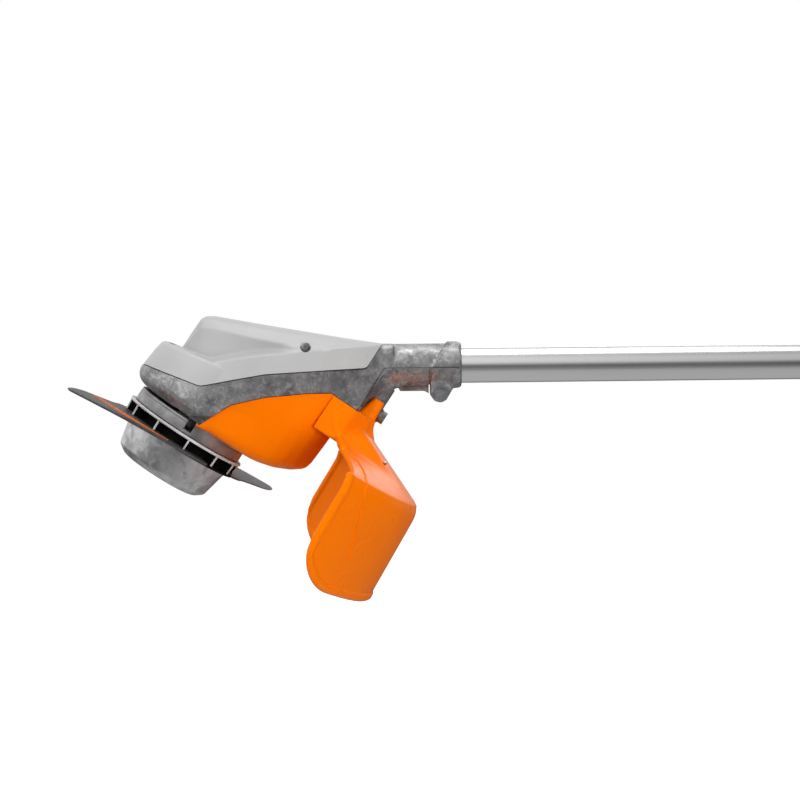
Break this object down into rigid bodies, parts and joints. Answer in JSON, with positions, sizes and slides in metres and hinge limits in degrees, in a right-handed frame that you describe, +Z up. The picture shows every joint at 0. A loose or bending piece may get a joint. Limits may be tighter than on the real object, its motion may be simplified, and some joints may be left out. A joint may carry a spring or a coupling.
{
  "type": "battery string trimmer with a two-wing cutter",
  "caption": "Battery grass trimmer: angled cutting head with moulded cutter, rider plate and guard, on a long tube with loop handle and a rear grip with battery.",
  "frame": {"origin": "centre of the carrying eye's hole, above the shaft", "axes": "+X along the shaft towards the operator and the battery, +Y across the shaft along the hole of the carrying eye, +Z up, away from the cutter"},
  "size_m": [1.5575, 0.2558, 0.325],
  "materials": {
    "cover_grey": "satin light grey",
    "orange": "glossy orange",
    "casting": "fine cast texture, mid grey",
    "aluminium": "satin, drawn along its length",
    "bright_steel": "brushed, turned",
    "dull_steel": "satin, slightly worn",
    "black_plastic": "black, fine texture",
    "dark_grey_plastic": "dark grey, fine texture",
    "soft_rubber": "soft touch",
    "core_steel": "stacked electrical sheet",
    "copper": "enamelled copper",
    "gear_steel": "oiled ground steel",
    "circuit_board": "green board",
    "cell_sleeve": "blue shrink sleeve",
    "white_plastic": "white nylon",
    "clear_lens": "milky translucent"
  },
  "bodies": {
    "trimmer": {"housing_casting": "casting", "top_cover": "cover_grey", "motor_cover": "orange", "neck_lower_half": "casting", "cover_screws": "bright_steel", "clamp_screw": "dull_steel", "clamp_nut": "dull_steel", "neck_screws": "dull_steel", "motor_stator": "core_steel", "stator_windings": "copper", "motor_end_cap": "casting", "motor_bearings": "bright_steel", "bridge_plate": "casting", "bridge_screws": "dull_steel", "spindle_bearings": "bright_steel", "spindle_seal": "soft_rubber", "guard": "orange", "guard_screw": "dull_steel", "shaft_tube": "aluminium", "motor_cable": "soft_rubber", "cable_connector": "white_plastic", "loop_clamp_upper": "black_plastic", "loop_clamp_lower": "black_plastic", "loop_clamp_cap": "black_plastic", "loop_bolts": "bright_steel", "loop_nuts": "bright_steel", "loop_frame": "dark_grey_plastic", "loop_grip": "soft_rubber", "eye_clamp": "aluminium", "eye_clamp_screw": "dull_steel", "handle_left_shell": "dark_grey_plastic", "handle_right_shell": "dark_grey_plastic", "handle_screws": "dull_steel", "grip_pads": "soft_rubber", "tube_ferrule": "black_plastic", "trigger_pin": "bright_steel", "lockout_pin": "bright_steel", "trigger_switch": "black_plastic", "control_board": "circuit_board", "contact_block": "black_plastic", "latch_pin": "bright_steel", "status_lens": "clear_lens"},
    "cutter_set": {"spindle": "bright_steel", "spindle_gear": "gear_steel", "thrust_drum": "bright_steel", "cutter": "black_plastic", "rider_plate": "dull_steel", "collar_nut": "dull_steel"},
    "rotor_set": {"motor_rotor": "core_steel", "motor_pinion": "gear_steel", "cooling_fan": "black_plastic"},
    "trigger_lever": {"trigger": "orange"},
    "lockout": {"lockout_lever": "black_plastic"},
    "battery_pack": {"battery": "dark_grey_plastic", "battery_cap": "orange", "battery_cells": "cell_sleeve"},
    "latch": {"battery_latch": "orange"},
    "button": {"power_button": "black_plastic"}
  },
  "joints": [
    {"name": "cutter_spin", "type": "hinge", "parent": "trimmer", "child": "cutter_set", "pos_m": [-1.0363, 0, -0.0753], "axis": [0.5534, 0, 0.8329], "continuous": true},
    {"name": "motor_spin", "type": "hinge", "parent": "trimmer", "child": "rotor_set", "pos_m": [-0.99257, 0, -0.10435], "axis": [0.5534, 0, 0.8329], "continuous": true},
    {"name": "trigger_pull", "type": "hinge", "parent": "trimmer", "child": "trigger_lever", "pos_m": [0.17, 0, -0.043], "axis": [0, -1, 0], "range_deg": [0, 11], "stiffness_Nm_per_rad": 0.6, "springref_deg": -20.05},
    {"name": "lockout_press", "type": "hinge", "parent": "trimmer", "child": "lockout", "pos_m": [0.266, 0, -0.014], "axis": [0, -1, 0], "range_deg": [0, 8], "stiffness_Nm_per_rad": 0.5, "springref_deg": -14.32},
    {"name": "battery_slide", "type": "slide", "parent": "trimmer", "child": "battery_pack", "axis": [1, 0, 0], "range_m": [0, 0.125]},
    {"name": "latch_press", "type": "hinge", "parent": "trimmer", "child": "latch", "pos_m": [0.404, 0, 0.01], "axis": [0, 1, 0], "range_deg": [0, 8], "stiffness_Nm_per_rad": 0.8, "springref_deg": -14.32},
    {"name": "power_press", "type": "slide", "parent": "trimmer", "child": "button", "axis": [0, 0, -1], "range_m": [0, 0.0015], "stiffness_N_per_m": 900, "springref_m": -0.002}
  ],
  "couplings": [
    {"joint": "motor_spin", "follows": "cutter_spin", "ratio": -3.6667}
  ]
}
